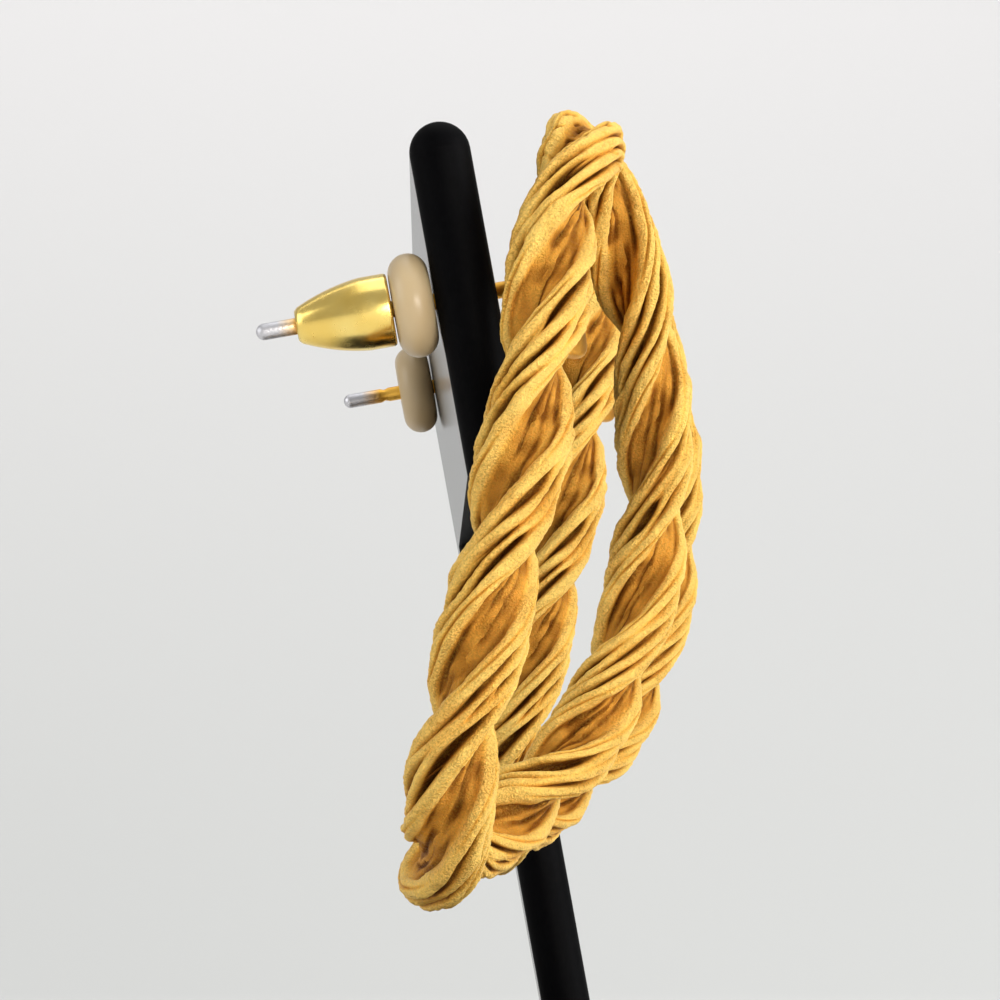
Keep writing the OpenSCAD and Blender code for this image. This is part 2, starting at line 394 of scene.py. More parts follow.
print("a line of waves has a spread of", round(float(waves(1, 5, 17).std()), 2))

# %% [markdown]
# The wires. Four lie side by side along the ribbon. They swell, thin out, part and run together,
# as wires do that were softened in the casting wax, and thinner ones show between them here and
# there. Separate tubes would look too neat, so the wires are a relief on the strand: the highest
# of several rounded ridges, softly joined.

# %% Kinds of wire
# half is half a wire's width and vary how much of the common wave it takes, between narrow and
# wide; height is its crest over the smooth strand, lift how much that varies along the rope, and
# wander how far the wire strays sideways, all in millimetres
WIRE_KINDS = {
    "edge": dict(half=0.53, vary=1.0, narrow=0.36, wide=0.78, height=0.0, lift=0.05, wander=0.09),
    "main": dict(half=0.53, vary=1.0, narrow=0.36, wide=0.78, height=-0.03, lift=0.11, wander=0.17),
    "thin": dict(half=0.20, vary=0.5, narrow=0.15, wide=0.42, height=-0.60, lift=0.24, wander=0.17),
}
# Places across the ribbon, in wires from its middle line
WIRES = (
    (-1.5, "edge"), (-0.5, "main"), (0.5, "main"), (1.5, "edge"),
    (-1.0, "thin"), (0.0, "thin"), (1.0, "thin"),
)
WIRE_GAP = 1.05
print("a ribbon has", len(WIRES), "wires, and its main ones lie", WIRE_GAP, "mm apart")

# %% Relief of the wires
WIDTH_WAVE = 0.09
WIDTH_SPREAD = 0.05
SLOT_DEPTH = 0.95
RIDGE_DEPTH = 0.72
RIDGE_POWER = 3.2
RIDGE_LOWEST = -2.0
JOIN_SHARPNESS = 20.0
SLOT_LEVEL, CREST_LEVEL = -0.66, -0.04


def wire_relief(seed):
    """Height of the surface over the smooth strand, in millimetres, and a share that is 1 on a
    wire's crest and 0 in a slot. Ridge k is height - depth * (distance / half-width)^power, and the
    surface is the soft maximum log(sum(exp(sharpness * ridge))) / sharpness of the ridges."""
    draw = np.random.default_rng(seed)
    total = np.full((RINGS, SECTION_POINTS), math.exp(-JOIN_SHARPNESS * SLOT_DEPTH))
    for number, (place, kind) in enumerate(WIRES):
        wire = WIRE_KINDS[kind]
        own = seed + 10 * number
        wander = wire["wander"] * waves(own + 1, 5, 17)
        width = WIDTH_WAVE * waves(own + 2, 8, 26) + draw.uniform(-WIDTH_SPREAD, WIDTH_SPREAD)
        half = np.clip(wire["half"] + wire["vary"] * width, wire["narrow"], wire["wide"])
        height = wire["height"] + wire["lift"] * waves(own + 3, 6, 20)
        away = around - (place * WIRE_GAP + wander)[:, None]
        if kind == "edge":
            # Beyond an edge wire's crest the outline itself is round
            away = np.maximum(-math.copysign(1.0, place) * away, 0.0)
        ridge = height[:, None] - RIDGE_DEPTH * (np.abs(away) / half[:, None]) ** RIDGE_POWER
        total += np.exp(JOIN_SHARPNESS * np.maximum(ridge, RIDGE_LOWEST))
    relief = np.log(total) / JOIN_SHARPNESS
    return relief, rise(relief, SLOT_LEVEL, CREST_LEVEL)


print("the relief spreads by", round(float(wire_relief(100)[0].std()), 2), "mm")

# %% [markdown]
# Beside the ribbon, the real strand has slots that part its edge wires from the cup, and folds
# inside the cup. Each is a groove along the rope that strays and fades as it goes.

# %% Slots beside the ribbon
# Distance from the ribbon's middle line, width and depth in millimetres
SIDE_SLOTS = ((2.02, 0.10, 0.17), (2.95, 0.15, 0.26), (3.60, 0.15, 0.18))
SLOT_WANDER = 0.8
SLOT_FADE, SLOT_FADE_WAVE, SLOT_FADE_MOST = 0.65, 0.45, 1.2


def side_slots(seed):
    """Depth in millimetres of the slots beside the ribbon, one along each edge wire and two inside
    each cup: depth * fade * exp(-((distance - place) / width)^2), where the place wanders."""
    depth = np.zeros((RINGS, SECTION_POINTS))
    for number, (place, width, deep) in enumerate(SIDE_SLOTS):
        for side in (-1, 1):
            own = seed + 200 + 20 * number + 5 * side
            wander = SLOT_WANDER * width * waves(own, 6, 20)
            fade = np.clip(SLOT_FADE + SLOT_FADE_WAVE * waves(own + 1, 6, 18), 0.0, SLOT_FADE_MOST)
            away = side * around - (place + wander)[:, None]
            depth += deep * fade[:, None] * np.exp(-((away / width) ** 2))
    return depth


print("the deepest slot is", round(float(side_slots(100).max()), 2), "mm deep")

# %% [markdown]
# The casting's own unevenness lies over the wires: lumps, fine bumps, dents in the cups and pits.
# The photo shows the top rough and pitted and the bottom worn smooth, and the rope is not
# equally thick all the way round.

# %% Unevenness of the casting
# Height in millimetres, number added to the seed, crests along the rope, crests round the
# strand, and how many waves are summed
LUMPS = (0.035, 5, (10, 70), 6, 36)
FINE_BUMPS = (0.014, 6, (80, 280), 26, 60)
DENTS = (0.050, 7, (14, 60), 5, 40)
PITS = (1.0, 8, (60, 130), 12, 36)
# Share by which the rope is thinner, and the share of its length where it is thinnest
THIN_PARTS = ((0.12, 0.03), (0.06, 0.42), (-0.05, 0.80))
TOP_REACH = 0.03
BOTTOM_REACH = 0.05
BOTTOM_WEAR = 0.55


def unevenness(kind, seed):
    """Height * ripples of one kind of unevenness."""
    height, own, along, most_round, count = kind
    return height * ripples(seed + own, along, most_round, count)


def bell(distance, reach):
    """Share that falls from 1 at no distance: exp(-(distance / reach)^2), as one column."""
    return np.exp(-((distance / reach) ** 2))[:, None]


at_top = bell(np.minimum(rope_share, 1 - rope_share), TOP_REACH)
calm = 1 - BOTTOM_WEAR * bell(rope_share - 0.5, BOTTOM_REACH)
# Size = 1 less the sum of thin * (1 + cos(share - place)) / 2
rope_size = 1 - sum(
    thin * (0.5 + 0.5 * np.cos(2 * math.pi * (rope_share - place))) for thin, place in THIN_PARTS
)
print("the rope's size goes from", round(rope_size.min(), 2), "to", round(rope_size.max(), 2))

# %% [markdown]
# Carrying the cross-section round the hoop. At each ring the outline is turned by the twist
# and laid on the travelling frame, and the relief pushes it in or out along its own normal.
# Every point also keeps how near it is to a wire's crest and whether it lies in a cup, so that
# the finish can paint shade: dark in the slots and orange-brown in the cups.

# %% Surface of a strand
WIRES_END = 2.65
CUP_BEGIN = 3.2
END_MARGIN, END_FADE = 0.3, 0.5
PIT_LEVEL, PIT_MOST, PIT_DEPTH = 0.9, 1.2, 0.22
# Painted shade: the cups' middle tone and its spread over the dents, and how much slots and pits darken
CUP_PAINTED_SHADE, CUP_PAINTED_SHADE_SPREAD = 0.50, 0.10
SLOT_PAINTED_SHADE, PIT_PAINTED_SHADE = 2.8, 0.6

on_wires = 1 - rise(np.abs(around), WIRES_END, CUP_BEGIN)
in_cup = 1 - on_wires
# The relief ends where the outline passes into the other strand
cup_end = np.abs(around[outline[:, 0] > 0.0]).max()
relief_share = rise(cup_end + END_MARGIN - np.abs(around), 0.0, END_FADE)


def strand_surface(seed):
    """How far each point is pushed along its normal, in millimetres, and its crest share, which sets
    the painted shade. The push is relief on the wires, dents in the cups, and lumps and fine bumps
    all over, less slots and pits. The crest share is the wires' own, or a middle painted shade in
    the cups that is lighter on raised dents, and slots and pits lower it as more painted shade."""
    relief, crest = wire_relief(seed)
    lumps, fine, dents, holes = (unevenness(kind, seed) for kind in (LUMPS, FINE_BUMPS, DENTS, PITS))
    slots = side_slots(seed)
    pits = at_top * np.clip(holes - PIT_LEVEL, 0, PIT_MOST)
    raised = on_wires * relief * calm + lumps * (1 + at_top) + fine + in_cup * dents
    push = raised - slots - PIT_DEPTH * pits
    # The crest share becomes painted shade: a middle tone in the cups, lighter on raised dents, darker in
    # slots and pits
    crest = crest * on_wires + (CUP_PAINTED_SHADE + CUP_PAINTED_SHADE_SPREAD * np.tanh(dents / DENTS[0])) * in_cup
    return push * relief_share, np.clip(crest - SLOT_PAINTED_SHADE * slots - PIT_PAINTED_SHADE * pits, 0, 1)


def strand_grid(start, push):
    """Grid of the strand: middle + size * (outline + push * normal), turned by twist + start."""
    shape = rope_size[:, None, None] * (outline + push[:, :, None] * outline_normal)
    turned = (twist_at(rope_share) + start)[:, None, None]
    outward, across = rope_outward[:, None, :], rope_across[:, None, :]
    out = np.cos(turned) * outward + np.sin(turned) * across
    side = np.cos(turned) * across - np.sin(turned) * outward
    return rope_middle[:, None, :] + shape[:, :, :1] * out + shape[:, :, 1:] * side


print("the wires' relief ends", round(float(cup_end), 2), "mm from the ribbon's middle line")

# %% Strands of both hoops
# Name, start of the twist and seed
STRANDS = (("strand_one", 0.0, 100), ("strand_two", math.pi, 300))

strands = []
for side in SIDES:
    for name, start, seed in STRANDS:
        node = f"{name}_{side}"
        push, crest = strand_surface(seed)
        grid = (strand_grid(start, push) + hoop_middle(side)) * MM
        # The crest share carries the painted shade of slots, cups and pits to the rope's gold
        shares = {"crest": crest, "cup": np.broadcast_to(in_cup, crest.shape)}
        piece = piece_from_grid(node + "_wires", grid, rows_closed=True, shares=shares)
        place_piece(piece, node)
        strands.append(piece)
        low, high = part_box(node)
        past_low = (grid.min(axis=(0, 1)) - low) / MM
        past_high = (grid.max(axis=(0, 1)) - high) / MM
        print(node, "differs from its solid's box by", rounded(past_low, 2), rounded(past_high, 2))

# %% [markdown]
# Helpers for materials. A material is a tree of nodes, and adding each by hand takes many lines.
# A small function adds a node and joins or sets its inputs, so that a material reads as a short list.

# %% Node helpers
def add_node(tree, kind, inputs=None, **settings):
    """A new node with its settings. Each input takes a plain value or a link from a socket."""
    node = tree.nodes.new(kind)
    for key, value in settings.items():
        setattr(node, key, value)
    for key, value in (inputs or {}).items():
        if isinstance(value, bpy.types.NodeSocket):
            tree.links.new(value, node.inputs[key])
        else:
            node.inputs[key].default_value = value
    return node


def level(tree, value, low, high, to_low=0.0, to_high=1.0):
    """A number carried from one range to another, clamped."""
    ends = {"From Min": low, "From Max": high, "To Min": to_low, "To Max": to_high}
    return add_node(tree, "ShaderNodeMapRange", {"Value": value, **ends}).outputs["Result"]


def times(tree, first, second):
    """first * second."""
    return add_node(tree, "ShaderNodeMath", {0: first, 1: second}, operation="MULTIPLY").outputs[0]


def plus(tree, first, second):
    """first + second."""
    return add_node(tree, "ShaderNodeMath", {0: first, 1: second}, operation="ADD").outputs[0]


def attribute(tree, name):
    """A share that a piece keeps at each of its points."""
    return add_node(tree, "ShaderNodeAttribute", attribute_name=name).outputs["Fac"]


# %% Colour helpers
# Places of the sockets for colours on a Mix node
MIX_FACTOR, MIX_FIRST, MIX_SECOND, MIX_RESULT = 0, 6, 7, 2


def mix_colour(tree, share, first, second, blend="MIX"):
    """Two colours mixed by a share. A colour is a socket or (red, green, blue)."""
    first, second = (
        (*colour, 1.0) if isinstance(colour, tuple) else colour for colour in (first, second)
    )
    inputs = {MIX_FACTOR: share, MIX_FIRST: first, MIX_SECOND: second}
    return add_node(tree, "ShaderNodeMix", inputs, data_type="RGBA", blend_type=blend).outputs[MIX_RESULT]


def ramp(tree, share, stops):
    """A colour ramp: stops are (place, colour) pairs, and it runs straight between them."""
    node = add_node(tree, "ShaderNodeValToRGB", {"Fac": share})
    elements = node.color_ramp.elements
    while len(elements) < len(stops):
        elements.new(0.5)
    for element, (place, colour) in zip(elements, stops):
        element.position = place
        element.color = (*colour, 1.0)
    return node.outputs["Color"]


# %% Material helpers
def new_material(name):
    """An empty material with a Principled shader, its tree and the shader."""
    material = bpy.data.materials.new(name)
    material.use_nodes = True
    tree = material.node_tree
    tree.nodes.clear()
    shader = add_node(tree, "ShaderNodeBsdfPrincipled")
    add_node(tree, "ShaderNodeOutputMaterial", {"Surface": shader.outputs["BSDF"]})
    return material, tree, shader


def join_surface(tree, shader, colour, roughness, height, bump, plain):
    """Joins a colour and a roughness to the shader, lifts it by a bump of (strength, distance in
    metres), and sets the plain values, which are the same all over."""
    strength, distance = bump
    inputs = {"Height": height, "Strength": strength, "Distance": distance}
    normal = add_node(tree, "ShaderNodeBump", inputs).outputs["Normal"]
    for name, socket in (("Base Color", colour), ("Roughness", roughness), ("Normal", normal)):
        tree.links.new(socket, shader.inputs[name])
    for name, value in plain.items():
        shader.inputs[name].default_value = value


def dress(piece, material):
    """Puts one material on a piece, in place of what it had."""
    piece.data.materials.clear()
    piece.data.materials.append(material)


# %% [markdown]
# Grain that several finishes share: fine grains, coarser speckle and slow cloudy stains.
# It is a node group, so each finish places it with its own sizes.

# %% Grain group
# Output, the size's input and its starting value, detail and roughness of the noise
GRAINS = (
    ("Grain", "Grain Scale", 9000.0, 3.0, 0.6),
    ("Speckle", "Speckle Scale", 3500.0, 4.0, 0.65),
    ("Cloud", "Cloud Scale", 400.0, 2.0, 0.5),
)
NOISE_LOW, NOISE_HIGH = 0.28, 0.72


def make_grain_group():
    """Group with outputs Grain, Speckle and Cloud, each a noise on Object coordinates whose usual
    range is spread to 0 to 1."""
    group = bpy.data.node_groups.new("metal_grain", "ShaderNodeTree")
    for name, size, value, _, _ in GRAINS:
        socket = group.interface.new_socket(size, in_out="INPUT", socket_type="NodeSocketFloat")
        socket.default_value = value
        group.interface.new_socket(name, in_out="OUTPUT", socket_type="NodeSocketFloat")
    given = add_node(group, "NodeGroupInput")
    place = add_node(group, "ShaderNodeTexCoord").outputs["Object"]
    result = add_node(group, "NodeGroupOutput")
    for name, size, _, detail, roughness in GRAINS:
        inputs = {"Scale": given.outputs[size], "Detail": detail, "Roughness": roughness}
        noise = add_node(group, "ShaderNodeTexNoise", {"Vector": place, **inputs})
        group.links.new(level(group, noise.outputs["Fac"], NOISE_LOW, NOISE_HIGH), result.inputs[name])
    return group


grain_group = make_grain_group()


def grain(tree, sizes):
    """Outputs of the grain group placed in a material, with its three sizes in grains per metre."""
    node = add_node(tree, "ShaderNodeGroup", node_tree=grain_group)
    for (_, size, _, _, _), value in zip(GRAINS, sizes):
        node.inputs[size].default_value = value
    return node.outputs


print("the grain group has", len(grain_group.nodes), "nodes")

# %% [markdown]
# The rope's gold: satin plate over cast brass. The crests are pale yellow with olive specks, and
# the whole is finely grained. The cups carry a painted orange-brown shade and the slots between the
# wires a nearly black painted shade, both set by depth. A painted picture could hold all that, but
# colour by depth follows every wire by itself.

# %% Rope gold
ROPE_GRAINS = (9000.0, 7500.0, 420.0)
# Colour by crest share: painted shade from the floor of a slot up to the plain gold at the top of a wire
SHADE_BY_DEPTH_COLOURS = (
    (0.00, (0.085, 0.022, 0.003)),
    (0.30, (0.27, 0.095, 0.012)),
    (0.52, (0.65, 0.32, 0.05)),
    (0.80, (0.86, 0.52, 0.105)),
    (1.00, (0.94, 0.64, 0.17)),
)
OLIVE = (0.42, 0.25, 0.04)
STAIN = (0.78, 0.38, 0.07)
STAIN_MOST = 0.35
CUP_ROUGHER = 0.10
SPECKLE_HEIGHT = 0.8


def make_rope_gold():
    """Gold by depth, darkened as painted shade towards the slots, cups and pits, with olive where
    speckle meets cloud, orange stains in the clouds and a grey grain over all. The cups are rougher
    than the wires."""
    material, tree, shader = new_material("rope_gold")
    grains = grain(tree, ROPE_GRAINS)
    fine, speckle, cloud = grains["Grain"], grains["Speckle"], grains["Cloud"]
    olive_share = times(tree, level(tree, speckle, 0.40, 0.90), level(tree, cloud, 0.2, 0.8, 0.15, 0.85))
    # Painted shade: the ramp darkens the gold towards the slots, cups and pits by the crest share
    colour = mix_colour(tree, olive_share, ramp(tree, attribute(tree, "crest"), SHADE_BY_DEPTH_COLOURS), OLIVE)
    colour = mix_colour(tree, times(tree, level(tree, cloud, 0.45, 1.0), STAIN_MOST), colour, STAIN)
    grey = level(tree, fine, 0.1, 0.9, 0.82, 1.10)
    shade = add_node(tree, "ShaderNodeCombineColor", {"Red": grey, "Green": grey, "Blue": grey})
    colour = mix_colour(tree, 1.0, colour, shade.outputs["Color"], "MULTIPLY")
    cup = attribute(tree, "cup")
    rough = plus(tree, level(tree, fine, 0.0, 1.0, 0.40, 0.62), times(tree, cup, CUP_ROUGHER))
    height = plus(tree, fine, times(tree, speckle, SPECKLE_HEIGHT))
    join_surface(tree, shader, colour, rough, height, (0.9, 0.09 * MM), {"Metallic": 1.0})
    return material


rope_gold = make_rope_gold()
for piece in strands:
    dress(piece, rope_gold)
print("rope gold has", len(rope_gold.node_tree.nodes), "nodes and dresses", len(strands), "strands")

# %% [markdown]
# Finishes of the small parts. The plate and the post are satin gold, with the bare steel of the
# post showing at its tip. The clutch is polished and the discs are soft tan plastic. They differ
# only in their values, so one function makes them all.

# %% Plate gold, clutch gold and tan plastic
def grained_finish(name, sizes, colours, roughness, bump, plain, colour_by="Cloud", roughness_by="Grain"):
    """A finish whose colour goes from the first to the second, and its roughness from low to high,
    each by one output of the grain group, under a bump of the finest grain."""
    material, tree, shader = new_material(name)
    grains = grain(tree, sizes)
    colour = mix_colour(tree, grains[colour_by], *colours)
    rough = level(tree, grains[roughness_by], 0.0, 1.0, *roughness)
    join_surface(tree, shader, colour, rough, grains["Grain"], bump, plain)
    return material, tree, shader, colour


STEEL = (0.62, 0.62, 0.65)

plate_gold, plate_tree, plate_shader, worn_gold = grained_finish(
    "plate_gold", (6000.0, 2500.0, 300.0), ((0.95, 0.57, 0.10), (0.82, 0.42, 0.06)),
    (0.34, 0.52), (0.4, 0.03 * MM), {"Metallic": 1.0},
)
plate_colour = mix_colour(plate_tree, attribute(plate_tree, "steel"), worn_gold, STEEL)
plate_tree.links.new(plate_colour, plate_shader.inputs["Base Color"])
clutch_gold, *_ = grained_finish(
    "clutch_gold", (5000.0, 1500.0, 500.0), ((0.97, 0.75, 0.24), (0.92, 0.64, 0.15)),
    (0.18, 0.30), (0.08, 0.01 * MM), {"Metallic": 1.0}, roughness_by="Speckle",
)
disc_tan, *_ = grained_finish(
    "disc_tan", (3000.0, 900.0, 260.0), ((0.68, 0.53, 0.31), (0.62, 0.46, 0.25)),
    (0.30, 0.42), (0.1, 0.01 * MM), {"Transmission Weight": 0.25},
)
print("made", plate_gold.name, clutch_gold.name, disc_tan.name)

# %% [markdown]
# The stand is matte black. Seen along its face, even a matte black board mirrors the pale room,
# and the photo shows a light strip there. So a coat comes in only where the view grazes the board.

# %% Stand black
COAT_FROM, COAT_TO = 0.82, 0.95

stand_black, stand_tree, stand_shader, _ = grained_finish(
    "stand_black", (7000.0, 2200.0, 120.0), ((0.0006, 0.0006, 0.0009), (0.0014, 0.0014, 0.0018)),
    (0.5, 0.65), (0.1, 0.004 * MM), {"Specular IOR Level": 0.03, "Coat Roughness": 0.22},
    colour_by="Speckle", roughness_by="Cloud",
)
grazing = add_node(stand_tree, "ShaderNodeLayerWeight", {"Blend": 0.5}).outputs["Facing"]
stand_tree.links.new(level(stand_tree, grazing, COAT_FROM, COAT_TO), stand_shader.inputs["Coat Weight"])
for node in ("stand_board", "stand_foot"):
    dress(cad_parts[node], stand_black)
print("stand black dresses the packed board and foot, whose shapes are right as they are")

# %% [markdown]
# Each post lies along a line square to the board. The discs, the bullet clutch and the post are
# turned pieces, so each is a profile of distances and radii carried once round that line.

# %% Turned pieces
TURN_COLUMNS = 96
SEAT_GAP = 0.1
GRIP_R = 0.595


def turned(profile, middle):
    """Grid of a turned piece: middle - distance * post way + radius * (cos, sin) across it, where
    each row of the profile is a distance behind the middle and a radius."""
    angle = np.arange(TURN_COLUMNS) * 2 * math.pi / TURN_COLUMNS
    across = np.array([0.0, 1.0, 0.0])
    up = np.cross(post_way, across)
    rim_way = np.cos(angle)[:, None] * across + np.sin(angle)[:, None] * up
    distance, radius = np.array(profile, float).T
    return (middle - distance[:, None, None] * post_way + radius[:, None, None] * rim_way) * MM


# %% Comfort discs
DISC_R = 3.0
DISC_THICK = 2.3
BORE_EASE = 0.15


def disc_profile():
    """Closed loop: a bored disc with a half round edge and softened corners at the bore."""
    start = BOARD_HALF + SEAT_GAP
    end = start + DISC_THICK
    edge = DISC_THICK / 2
    arc = np.linspace(-math.pi / 2, math.pi / 2, 15)
    rim_arc = [(start + edge + edge * math.sin(a), DISC_R - edge + edge * math.cos(a)) for a in arc]
    bore = [(end, GRIP_R + BORE_EASE), (end - BORE_EASE, GRIP_R)]
    return rim_arc + bore + [(start + BORE_EASE, GRIP_R), (start, GRIP_R + BORE_EASE)]


for side in SIDES:
    grid = turned(disc_profile(), hole_place(side))
    disc = piece_from_grid(f"comfort_disc_{side}", grid, rows_closed=True)
    place_piece(disc, f"clutch_disc_{side}")
    dress(disc, disc_tan)

# %% Bullet clutch
BULLET_LENGTH = 5.5
BULLET_R = 2.1
BULLET_ROUND = 0.2
SKIRT_SHARE = 0.28
NOSE_R = 1.05
TAPER_STRAIGHT, TAPER_CURVED = 0.35, 0.65


def bullet_profile():
    """Closed loop: a straight skirt with a rounded rim, a smooth taper to the nose, and the bore.
    Along the taper, t from 0 to 1, the radius falls to the nose's by a share 0.35 t + 0.65 t^2."""
    start = BOARD_HALF + 2 * SEAT_GAP + DISC_THICK
    end = start + BULLET_LENGTH
    skirt = start + SKIRT_SHARE * BULLET_LENGTH
    rim_arc = [
        (start + BULLET_ROUND * (1 - math.cos(a)), BULLET_R - BULLET_ROUND * (1 - math.sin(a)))
        for a in np.linspace(0, math.pi / 2, 6)
    ]
    taper = [
        (skirt + t * (end - BULLET_ROUND - skirt),
         BULLET_R - (BULLET_R - NOSE_R) * (TAPER_STRAIGHT * t + TAPER_CURVED * t * t))
        for t in np.linspace(0, 1, 16)
    ]
    return rim_arc + taper + [(end, NOSE_R - BULLET_ROUND), (end, GRIP_R), (start, GRIP_R)]


bullet = piece_from_grid("bullet_clutch", turned(bullet_profile(), hole_place("left")), rows_closed=True)
place_piece(bullet, "clutch_bullet")
dress(bullet, clutch_gold)

# %% [markdown]
# The bridge plate lies across the backs of both sides of the rope. Its outline is a trapezoid
# with rounded corners, and its edge is half round, as on a plate that was filed by hand.
# It could be a box with bevels, but then its slanted sides would need a second step.

# %% Bridge plate
PLATE_HEIGHT = 7.0
PLATE_HALF = 0.8 / 2
PLATE_TOP = 5.2
PLATE_LOW = 9.5
PLATE_RISE = 0.4
PLATE_SINK = 0.2
PLATE_POINTS = 160
PLATE_CORNER = 7
# Insets of the plate's outline on its faces, and how much its half round edge falls in
FACE_INSETS = (3.0, 1.0)
EDGE_FALL = 0.25
LEAST_HALF = 0.02

plate_up = POST_RISE + PLATE_RISE
top_forward = rim_forward((plate_up + PLATE_HEIGHT / 2) / HALF_H)
low_forward = rim_forward((plate_up - PLATE_HEIGHT / 2) / HALF_H)
plate_lean = math.atan((low_forward - top_forward) * FACE[0] / PLATE_HEIGHT)
plate_behind = ROPE_R + SEAT_GAP + PLATE_HALF - PLATE_SINK
plate_place = np.array([HOOP_AHEAD + (top_forward + low_forward) / 2, 0.0, PLATE_RISE])
plate_place = plate_place - plate_behind * FACE
print("the bridge plate leans by", round(math.degrees(plate_lean), 1), "degrees")


def plate_grid(middle):
    """Grid of the plate. Row r carries the outline at a share of its thickness: the outline is
    |y|^n + |z|^n = 1 with n = 7, made narrower upwards, and it shrinks towards both faces."""
    angle = np.arange(PLATE_POINTS) * 2 * math.pi / PLATE_POINTS
    c, s = np.cos(angle), np.sin(angle)
    size = (np.abs(c) ** PLATE_CORNER + np.abs(s) ** PLATE_CORNER) ** (-1 / PLATE_CORNER)
    y, z = size * c, size * s
    half_width = (PLATE_LOW + PLATE_TOP) / 4 + (PLATE_TOP - PLATE_LOW) / 4 * z
    tilt = np.linspace(-math.pi / 2, math.pi / 2, 9)
    inset = np.concatenate([FACE_INSETS, EDGE_FALL * (1 - np.cos(tilt)), FACE_INSETS[::-1]])[:, None]
    depth = np.concatenate([[-PLATE_HALF] * 2, PLATE_HALF * np.sin(tilt), [PLATE_HALF] * 2])[:, None]
    wide = np.maximum(half_width - inset, LEAST_HALF) * y
    high = np.maximum(PLATE_HEIGHT / 2 - inset, LEAST_HALF) * z
    across = np.array([math.sin(HOOP_TURN), math.cos(HOOP_TURN), 0.0])
    forward = math.cos(plate_lean) * FACE + np.array([0.0, 0.0, math.sin(plate_lean)])
    up = np.cross(forward, across)
    ways = ((depth, forward), (wide, across), (high, up))
    return (middle + sum(distance[..., None] * way for distance, way in ways)) * MM


# %% [markdown]
# The post is soldered to the plate's back. It is gold like the plate up to a short bare tip, and
# it has a shallow notch that a clutch snaps into. Each point keeps how much of it is bare steel.

# %% Posts and plates in place
POST_R = 0.475
POST_BACK = 11.6
TIP_ANGLES = np.linspace(0, 0.49 * math.pi, 8)
NOTCH_BACK, NOTCH_HALF, NOTCH_DEPTH = 2.4, 0.3, 0.10
SHOULDER_BACK = 0.8
STEEL_FROM, STEEL_TO = 1.6, 1.1

post_reach = (plate_place @ FACE) / (post_way @ FACE)


def post_profile():
    """A straight post from the plate to its round tip, with the shallow notch."""
    notch = POST_BACK - NOTCH_BACK
    shaft = [(-post_reach, POST_R), (0.0, POST_R), (notch - NOTCH_HALF, POST_R)]
    shaft += [(notch, POST_R - NOTCH_DEPTH), (notch + NOTCH_HALF, POST_R)]
    tip = [(POST_BACK + POST_R * math.sin(a), POST_R * math.cos(a)) for a in TIP_ANGLES]
    return shaft + [(POST_BACK - SHOULDER_BACK, POST_R)] + tip


for side in SIDES:
    post = turned(post_profile(), post_place(side))
    bare = rise(np.array(post_profile())[:, 0], POST_BACK - STEEL_FROM, POST_BACK - STEEL_TO)
    bare = np.broadcast_to(bare[:, None], post.shape[:2])
    plate = plate_grid(post_place(side) + plate_place)
    gilt = np.zeros(plate.shape[:2])
    for name, grid, steel in (("ear_post", post, bare), ("bridge_plate", plate, gilt)):
        piece = piece_from_grid(f"{name}_{side}", grid, caps=True, shares={"steel": steel})
        place_piece(piece, f"post_plate_{side}")
        dress(piece, plate_gold)

# %% [markdown]
# A plain studio: one pale sweep that is floor and backdrop. It starts to rise close behind the
# stand, so no line shows between floor and backdrop. Its paper carries painted shade, darker low
# down behind the stand, and a painted pool of light round the foot, brighter there so that it
# lights the undersides of the hoops. From here on, lengths are in metres.

# %% Sweep
SWEEP_NEAR = -1.2
SWEEP_TURN = 0.10
SWEEP_RADIUS = 1.4
SWEEP_HALF = 1.6
SWEEP_TOP = 1.9


def make_sweep():
    """Floor and backdrop in one: flat up to where it turns up, a quarter circle, then upright."""
    turn = np.linspace(0, math.pi / 2, 48)
    far = SWEEP_TURN + SWEEP_RADIUS
    y = np.concatenate([[SWEEP_NEAR], SWEEP_TURN + SWEEP_RADIUS * np.sin(turn), [far]])
    z = np.concatenate([[0.0], SWEEP_RADIUS * (1 - np.cos(turn)), [SWEEP_TOP]])
    x = np.linspace(-SWEEP_HALF, SWEEP_HALF, 9)
    grid = np.stack(np.broadcast_arrays(x[:, None], y[None, :], z[None, :]), axis=-1)
    return piece_from_grid("sweep", grid, columns_closed=False)


sweep = make_sweep()
sweep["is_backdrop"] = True

# %% Paper
# Painted light on the floor round the foot, painted shade low down on the sweep, and the paper higher up
PAPER_PAINTED_LIGHT = (0.740, 0.735, 0.720)
PAPER_PAINTED_SHADE = (0.560, 0.570, 0.562)
PAPER_HIGH = (0.825, 0.820, 0.825)
PAPER_FLECK = (0.9, 0.9, 0.9)
FLECK_MOST = 0.03
# Where the painted light near the foot gives way along the floor, and where the painted shade low down
# passes into the high paper
NEAR_FROM, NEAR_TO = 0.04, 0.16
LOW_FROM, LOW_TO = 0.0, 0.30

paper, tree, shader = new_material("paper")
place = add_node(tree, "ShaderNodeTexCoord").outputs["Object"]
parts = add_node(tree, "ShaderNodeSeparateXYZ", {"Vector": place}).outputs
noise = add_node(tree, "ShaderNodeTexNoise", {"Vector": place, "Scale": 3.0, "Detail": 1.0})
# Painted shade: darker low down on the sweep; then painted light: brighter on the floor round the foot
shade = mix_colour(tree, level(tree, parts["Z"], LOW_FROM, LOW_TO), PAPER_PAINTED_SHADE, PAPER_HIGH)
shade = mix_colour(tree, level(tree, parts["Y"], NEAR_FROM, NEAR_TO), PAPER_PAINTED_LIGHT, shade)
shade = mix_colour(tree, times(tree, noise.outputs["Fac"], FLECK_MOST), shade, PAPER_FLECK)
tree.links.new(shade, shader.inputs["Base Color"])
shader.inputs["Roughness"].default_value = 0.9
dress(sweep, paper)
print("paper has", len(tree.nodes), "nodes")

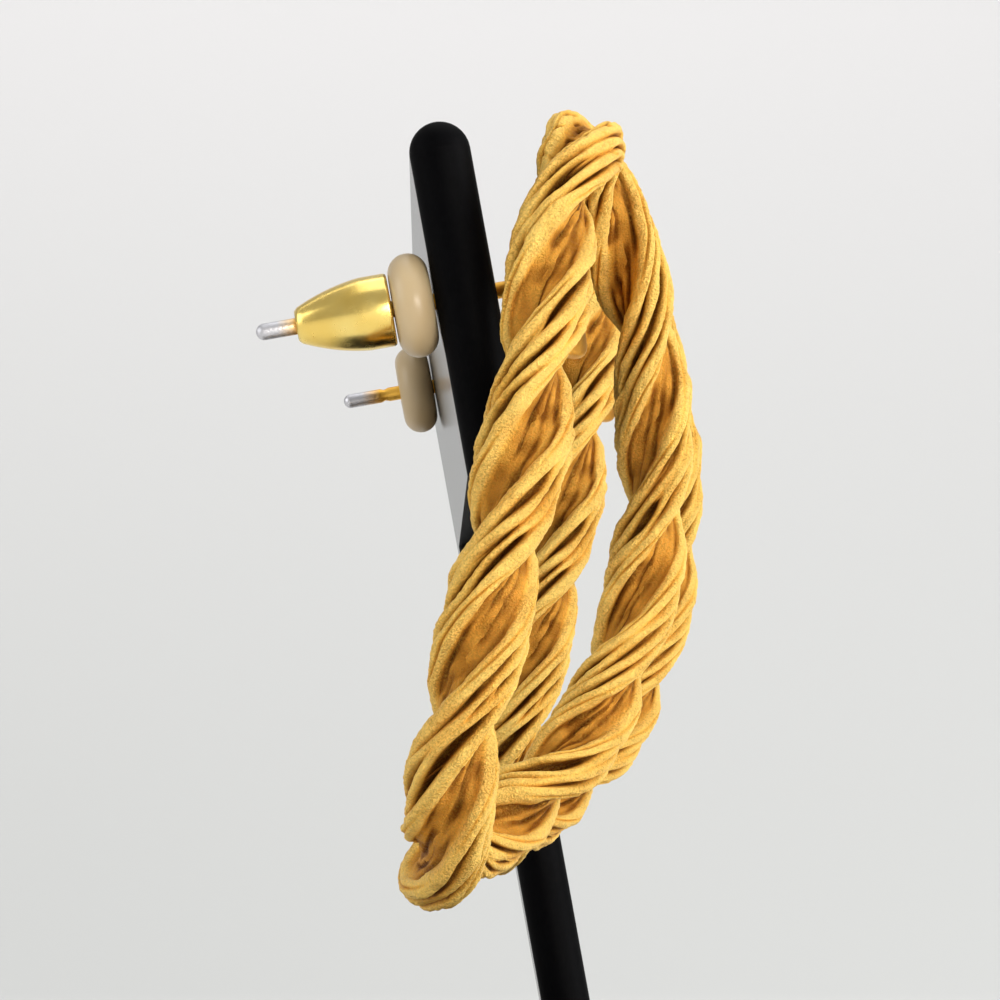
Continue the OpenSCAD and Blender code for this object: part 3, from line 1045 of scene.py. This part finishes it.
# %% [markdown]
# Soft lights stand on both sides, in front and above, and one more brightens the backdrop.
# The front one is a little warm, as in the photo. A pale world fills the shadows.

# %% Lights
AIM = (0.0, -0.015, 0.04)
WHITE = (1.0, 1.0, 1.0)
WARM = (1.0, 0.95, 0.88)
# Name, place, aim, width and height, watts and colour
LIGHTS = (
    ("light_right", (0.52, -0.16, 0.22), AIM, (0.4, 0.4), 3.5, WHITE),
    ("light_front", (0.26, -0.66, 0.02), (0.0, -0.03, 0.03), (0.35, 0.35), 5.0, WARM),
    ("light_left", (-0.55, -0.15, 0.22), AIM, (0.4, 0.4), 1.0, WHITE),
    ("light_top", (0.10, -0.02, 0.70), AIM, (0.7, 0.7), 1.7, WHITE),
    ("light_backdrop", (0.0, 0.35, 0.9), (0.0, 1.3, 0.3), (1.6, 0.6), 4.7, WHITE),
)


def soft_light(name, place, aim, size, power, colour):
    """A soft light at a place, tipped up from straight down and turned until it looks at its aim."""
    data = bpy.data.lights.new(name, "AREA")
    data.shape = "RECTANGLE"
    data.size, data.size_y = size
    data.energy = power
    data.color = colour
    light = bpy.data.objects.new(name, data)
    light.location = place
    way = np.array(aim) - np.array(place)
    tip = math.atan2(math.hypot(way[0], way[1]), -way[2])
    light.rotation_euler = (tip, 0.0, math.atan2(way[1], way[0]) - math.pi / 2)
    bpy.context.scene.collection.objects.link(light)
    print(name, "gives", power, "watts")


for values in LIGHTS:
    soft_light(*values)

# %% World and view
WORLD_COLOUR = (1.0, 0.985, 0.97, 1.0)
WORLD_STRENGTH = 0.44

world = bpy.data.worlds.new("studio")
bpy.context.scene.world = world
world.use_nodes = True
background = world.node_tree.nodes["Background"]
background.inputs["Color"].default_value = WORLD_COLOUR
background.inputs["Strength"].default_value = WORLD_STRENGTH
bpy.context.scene.view_settings.view_transform = "Standard"
print("the world's strength is", WORLD_STRENGTH)

# %% [markdown]
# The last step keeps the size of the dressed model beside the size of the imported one.

# %% Sizes and finish
low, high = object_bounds()
print("dressed model from", rounded(low), "to", rounded(high))
